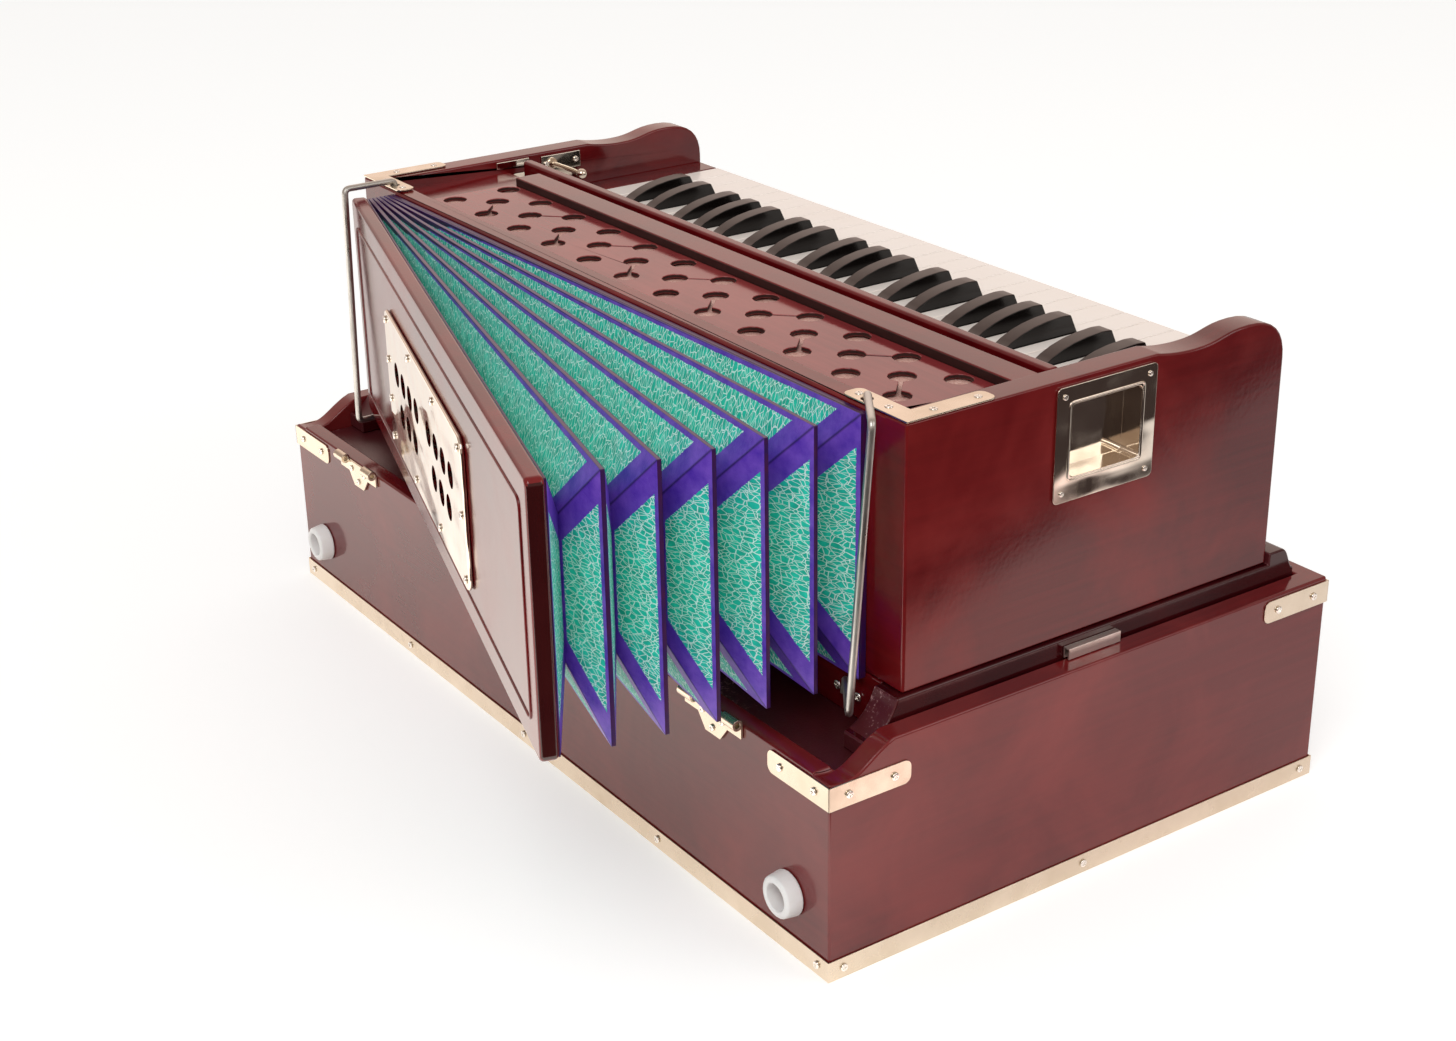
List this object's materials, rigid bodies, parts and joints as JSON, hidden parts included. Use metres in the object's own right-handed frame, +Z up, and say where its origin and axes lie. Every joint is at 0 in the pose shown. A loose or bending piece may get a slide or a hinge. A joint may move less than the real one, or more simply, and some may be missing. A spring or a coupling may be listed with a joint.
{
  "type": "indian harmonium",
  "caption": "Portable hand-pumped Indian harmonium raised in its case tray, with a fan-folded pump bellows at the back, a keyboard, stops and a drilled grille board.",
  "frame": {"origin": "centre of the case tray's underside", "axes": "+Z up; +X to the player's right, along the keyboard; -Y towards the player; the pump bellows is at +Y"},
  "size_m": [0.6422, 0.5139, 0.3055],
  "materials": {
    "lacquered_mahogany": "dark red-brown stain under high-gloss lacquer",
    "raw_board": "dark maroon speckled board, semi-matt",
    "inner_wood": "bare pale wood",
    "plated_metal": "pale warm nickel plate, satin",
    "chrome": "bright chrome plate",
    "brass": "plain brass",
    "nylon": "white moulded nylon",
    "bellows_card": "teal paper on card with pale mint veining, satin",
    "bellows_tape": "blue-violet cloth tape",
    "black_leather": "thin black leather",
    "white_plastic": "ivory-white key covering, polished",
    "black_plastic": "black moulded plastic, worn satin"
  },
  "bodies": {
    "harmonium": {"case_floor": "raw_board", "case_front_wall": "lacquered_mahogany", "case_back_wall": "lacquered_mahogany", "case_left_wall": "lacquered_mahogany", "case_right_wall": "lacquered_mahogany", "edge_band": "plated_metal", "lid_hinge_left": "plated_metal", "lid_hinge_right": "plated_metal", "foot_left": "nylon", "foot_right": "nylon", "handle_plate": "plated_metal", "base_board": "raw_board", "foot_rail_left": "lacquered_mahogany", "foot_rail_right": "lacquered_mahogany", "plinth": "lacquered_mahogany", "cheek_left": "lacquered_mahogany", "cheek_right": "lacquered_mahogany", "bottom_board": "inner_wood", "back_board": "lacquered_mahogany", "front_board": "lacquered_mahogany", "reed_board": "inner_wood", "reed_bank": "brass", "key_block_left": "lacquered_mahogany", "key_block_right": "lacquered_mahogany", "top_frame": "lacquered_mahogany", "key_rail": "lacquered_mahogany", "grille_board": "lacquered_mahogany", "reservoir_folds": "black_leather", "cup_handle_left": "plated_metal", "cup_handle_right": "plated_metal", "corner_plate_left": "plated_metal", "corner_plate_right": "plated_metal", "bellows_frame": "bellows_tape"},
    "carry_handle": {"carry_handle": "plated_metal"},
    "support_flap_left": {"support_flap_left": "raw_board"},
    "support_flap_right": {"support_flap_right": "raw_board"},
    "reservoir": {"reservoir_board": "inner_wood"},
    "stop_1": {"stop_1": "black_plastic"},
    "stop_2": {"stop_2": "black_plastic"},
    "stop_3": {"stop_3": "black_plastic"},
    "stop_4": {"stop_4": "black_plastic"},
    "coupler": {"coupler_knob": "plated_metal"},
    "bail_left": {"bail_left": "plated_metal"},
    "bail_right": {"bail_right": "plated_metal"},
    "rib_1": {"fold_1": "bellows_card"},
    "rib_2": {"fold_2": "bellows_card"},
    "rib_3": {"fold_3": "bellows_card"},
    "rib_4": {"fold_4": "bellows_card"},
    "rib_5": {"fold_5": "bellows_card"},
    "pump": {"fold_6": "bellows_card", "pump_board": "lacquered_mahogany", "pump_plate": "chrome"},
    "white_keys": {"white_keys": "white_plastic"},
    "black_keys": {"black_keys": "black_plastic"},
    "key_f": {"key_f": "white_plastic"},
    "key_f_sharp": {"key_f_sharp": "black_plastic"},
    "key_g": {"key_g": "white_plastic"},
    "key_g_sharp": {"key_g_sharp": "black_plastic"},
    "key_a": {"key_a": "white_plastic"},
    "key_a_sharp": {"key_a_sharp": "black_plastic"}
  },
  "joints": [
    {"name": "pump_hinge", "type": "hinge", "parent": "harmonium", "child": "pump", "pos_m": [0.253, 0.146, 0.2225], "axis": [0, 0, 1], "range_deg": [0, 17.2], "stiffness_Nm_per_rad": 1.5, "deforming": ["fold_6"]},
    {"name": "rib_1_hinge", "type": "hinge", "parent": "harmonium", "child": "rib_1", "pos_m": [0.253, 0.131, 0.2225], "axis": [0, 0, 1], "range_deg": [0, 2.88], "deforming": ["fold_1"]},
    {"name": "rib_2_hinge", "type": "hinge", "parent": "harmonium", "child": "rib_2", "pos_m": [0.253, 0.134, 0.2225], "axis": [0, 0, 1], "range_deg": [0, 5.74], "deforming": ["fold_2"]},
    {"name": "rib_3_hinge", "type": "hinge", "parent": "harmonium", "child": "rib_3", "pos_m": [0.253, 0.137, 0.2225], "axis": [0, 0, 1], "range_deg": [0, 8.61], "deforming": ["fold_3"]},
    {"name": "rib_4_hinge", "type": "hinge", "parent": "harmonium", "child": "rib_4", "pos_m": [0.253, 0.14, 0.2225], "axis": [0, 0, 1], "range_deg": [0, 11.48], "deforming": ["fold_4"]},
    {"name": "rib_5_hinge", "type": "hinge", "parent": "harmonium", "child": "rib_5", "pos_m": [0.253, 0.143, 0.2225], "axis": [0, 0, 1], "range_deg": [0, 14.34], "deforming": ["fold_5"]},
    {"name": "bail_left_pivot", "type": "hinge", "parent": "harmonium", "child": "bail_left", "pos_m": [-0.264, 0.119, 0.3014], "axis": [-0.0425, -0.0455, 0.9981], "range_deg": [-20, 10]},
    {"name": "bail_right_pivot", "type": "hinge", "parent": "harmonium", "child": "bail_right", "pos_m": [0.264, 0.119, 0.3014], "axis": [0.0425, -0.0455, 0.9981], "range_deg": [-75, 0]},
    {"name": "white_keys_pivot", "type": "hinge", "parent": "harmonium", "child": "white_keys", "pos_m": [0, 0, 0.258], "axis": [1, 0, 0], "range_deg": [0, 3], "stiffness_Nm_per_rad": 13, "springref_deg": -10},
    {"name": "black_keys_pivot", "type": "hinge", "parent": "harmonium", "child": "black_keys", "pos_m": [0, 0, 0.258], "axis": [1, 0, 0], "range_deg": [0, 3], "stiffness_Nm_per_rad": 6, "springref_deg": -10},
    {"name": "key_f_pivot", "type": "hinge", "parent": "harmonium", "child": "key_f", "pos_m": [0, 0, 0.258], "axis": [1, 0, 0], "range_deg": [0, 3], "stiffness_Nm_per_rad": 0.6, "springref_deg": -10},
    {"name": "key_f_sharp_pivot", "type": "hinge", "parent": "harmonium", "child": "key_f_sharp", "pos_m": [0, 0, 0.258], "axis": [1, 0, 0], "range_deg": [0, 3], "stiffness_Nm_per_rad": 0.4, "springref_deg": -10},
    {"name": "key_g_pivot", "type": "hinge", "parent": "harmonium", "child": "key_g", "pos_m": [0, 0, 0.258], "axis": [1, 0, 0], "range_deg": [0, 3], "stiffness_Nm_per_rad": 0.6, "springref_deg": -10},
    {"name": "key_g_sharp_pivot", "type": "hinge", "parent": "harmonium", "child": "key_g_sharp", "pos_m": [0, 0, 0.258], "axis": [1, 0, 0], "range_deg": [0, 3], "stiffness_Nm_per_rad": 0.4, "springref_deg": -10},
    {"name": "key_a_pivot", "type": "hinge", "parent": "harmonium", "child": "key_a", "pos_m": [0, 0, 0.258], "axis": [1, 0, 0], "range_deg": [0, 3], "stiffness_Nm_per_rad": 0.6, "springref_deg": -10},
    {"name": "key_a_sharp_pivot", "type": "hinge", "parent": "harmonium", "child": "key_a_sharp", "pos_m": [0, 0, 0.258], "axis": [1, 0, 0], "range_deg": [0, 3], "stiffness_Nm_per_rad": 0.4, "springref_deg": -10},
    {"name": "stop_1_slide", "type": "slide", "parent": "harmonium", "child": "stop_1", "axis": [0, -1, 0], "range_m": [0, 0.015]},
    {"name": "stop_2_slide", "type": "slide", "parent": "harmonium", "child": "stop_2", "axis": [0, -1, 0], "range_m": [0, 0.015]},
    {"name": "stop_3_slide", "type": "slide", "parent": "harmonium", "child": "stop_3", "axis": [0, -1, 0], "range_m": [0, 0.015]},
    {"name": "stop_4_slide", "type": "slide", "parent": "harmonium", "child": "stop_4", "axis": [0, -1, 0], "range_m": [0, 0.015]},
    {"name": "coupler_slide", "type": "slide", "parent": "harmonium", "child": "coupler", "axis": [0, 1, 0], "range_m": [-0.005, 0.005]},
    {"name": "reservoir_hinge", "type": "hinge", "parent": "harmonium", "child": "reservoir", "pos_m": [0, -0.099, 0.1701], "axis": [1, 0, 0], "range_deg": [0, 5], "stiffness_Nm_per_rad": 4},
    {"name": "carry_handle_pivot", "type": "hinge", "parent": "harmonium", "child": "carry_handle", "pos_m": [0, -0.1938, 0.078], "axis": [-1, 0, 0], "range_deg": [0, 90]},
    {"name": "support_flap_left_hinge", "type": "hinge", "parent": "harmonium", "child": "support_flap_left", "pos_m": [-0.2847, 0, 0.0093], "axis": [0, 1, 0], "range_deg": [0, 90]},
    {"name": "support_flap_right_hinge", "type": "hinge", "parent": "harmonium", "child": "support_flap_right", "pos_m": [0.2847, 0, 0.0093], "axis": [0, -1, 0], "range_deg": [0, 90]}
  ],
  "couplings": [
    {"joint": "rib_1_hinge", "follows": "pump_hinge", "ratio": 0.16667},
    {"joint": "rib_2_hinge", "follows": "pump_hinge", "ratio": 0.33333},
    {"joint": "rib_3_hinge", "follows": "pump_hinge", "ratio": 0.5},
    {"joint": "rib_4_hinge", "follows": "pump_hinge", "ratio": 0.66667},
    {"joint": "rib_5_hinge", "follows": "pump_hinge", "ratio": 0.83333}
  ]
}
